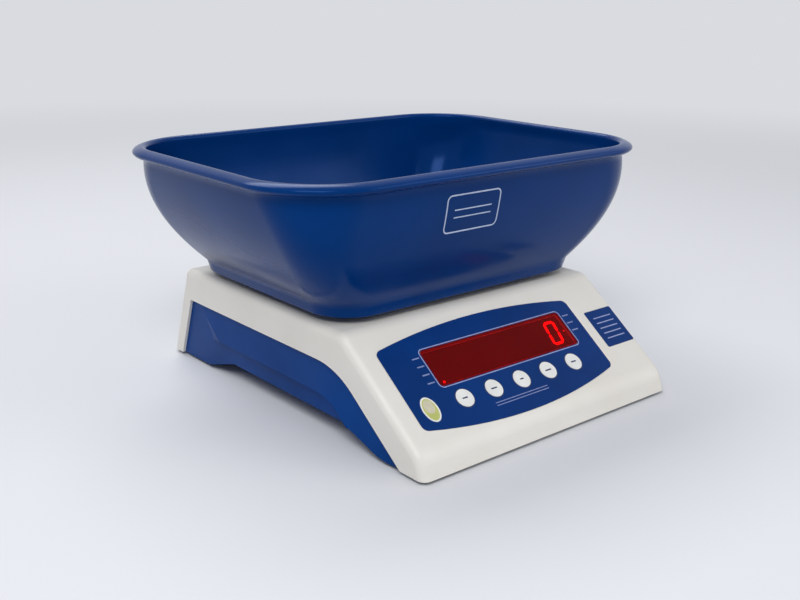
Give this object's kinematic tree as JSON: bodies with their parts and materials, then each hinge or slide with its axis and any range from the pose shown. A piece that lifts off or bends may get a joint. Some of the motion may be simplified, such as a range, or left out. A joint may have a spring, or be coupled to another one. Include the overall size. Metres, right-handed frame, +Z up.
{
  "type": "table-top electronic weighing scale with a lift-off bowl",
  "caption": "Low wedge-shaped housing with a sloping keypad and red digital display, carrying a large rectangular bowl that lifts off its support pads.",
  "frame": {"origin": "middle of the whole scale on the table it stands on", "axes": "+X across the scale to the user's right, -Y towards the user and the display, +Z up"},
  "size_m": [0.424, 0.385, 0.2194],
  "materials": {
    "housing_white": "fine satin moulded ABS, warm white",
    "housing_blue": "semi-gloss moulded ABS, deep blue",
    "film_blue": "satin printed polyester film, blue",
    "window_red": "dark red tinted acrylic, gloss",
    "module_dark": "black moulded digit module",
    "digit_lit": "lit red diffuser bars",
    "key_white": "embossed white key",
    "vial_clear": "clear acrylic over pale green fluid",
    "zinc_steel": "zinc-plated sheet steel",
    "bare_aluminium": "machined aluminium",
    "cast_aluminium": "die-cast aluminium",
    "black_plastic": "black moulded nylon",
    "black_rubber": "soft black rubber",
    "bowl_blue": "glossy moulded polypropylene, royal blue"
  },
  "bodies": {
    "housing": {"base_plate": "zinc_steel", "battery_cover": "housing_blue", "display_module": "module_dark", "display_window": "window_red", "key_1": "key_white", "key_2": "key_white", "key_3": "key_white", "key_4": "key_white", "key_5": "key_white", "keypad_film": "film_blue", "level_cup": "key_white", "level_vial": "vial_clear", "levelling_foot_1": "black_rubber", "levelling_foot_2": "black_rubber", "levelling_foot_3": "black_rubber", "levelling_foot_4": "black_rubber", "lit_digit": "digit_lit", "load_cell": "bare_aluminium", "lower_housing": "housing_blue", "lower_spacer": "bare_aluminium", "power_socket": "black_plastic", "power_switch": "black_plastic", "side_label": "film_blue", "spider": "cast_aluminium", "support_pad_1": "black_rubber", "support_pad_2": "black_rubber", "support_pad_3": "black_rubber", "support_pad_4": "black_rubber", "switch_bezel": "black_plastic", "top_housing": "housing_white", "upper_spacer": "bare_aluminium"},
    "bowl": {"bowl": "bowl_blue"}
  },
  "joints": [
    {"name": "bowl_lift", "type": "slide", "parent": "housing", "child": "bowl", "axis": [0, 0, 1], "range_m": [0, 0.12]}
  ]
}
